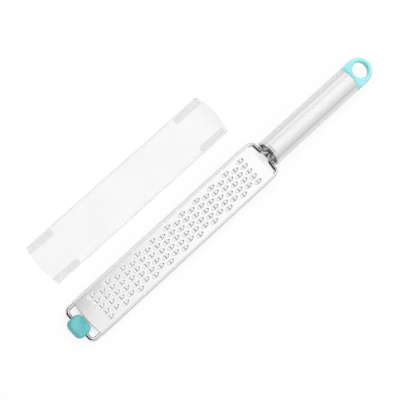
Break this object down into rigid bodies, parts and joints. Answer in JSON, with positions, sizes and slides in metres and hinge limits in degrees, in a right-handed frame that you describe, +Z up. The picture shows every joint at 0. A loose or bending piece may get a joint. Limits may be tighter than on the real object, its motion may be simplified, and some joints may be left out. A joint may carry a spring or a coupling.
{
  "type": "rasp zester",
  "caption": "Hand-held rasp zester: slit-toothed steel blade on a bent wire frame, tubular handle with a hanging hole, rubber tip foot and a clear clip-on blade cover beside it.",
  "frame": {"origin": "on the table, under the middle of the whole object's bounding box, cover included", "axes": "+X from the tip foot along the tool to the hanging hole, +Y from the tool towards the cover beside it, +Z up from the table"},
  "size_m": [0.3382, 0.0932, 0.0263],
  "materials": {
    "polished_wire": "polished",
    "blade_steel": "satin",
    "handle_steel": "brushed",
    "rim_steel": "polished",
    "foot_rubber": "satin",
    "cap_plastic": "gloss",
    "plug_plastic": "matte",
    "clear_plastic": "clear gloss"
  },
  "bodies": {
    "zester": {"wire_frame": "polished_wire", "grating_blade": "blade_steel", "tip_foot": "foot_rubber", "handle_tube": "handle_steel", "ferrule_cup": "rim_steel", "wire_socket": "plug_plastic", "hanging_cap": "cap_plastic"},
    "cover": {"blade_cover": "clear_plastic"}
  },
  "joints": [
    {"name": "cover_carry", "type": "slide", "parent": "zester", "child": "cover", "axis": [0, -0.6784, 0.7347], "range_m": [0, 0.08166]}
  ]
}
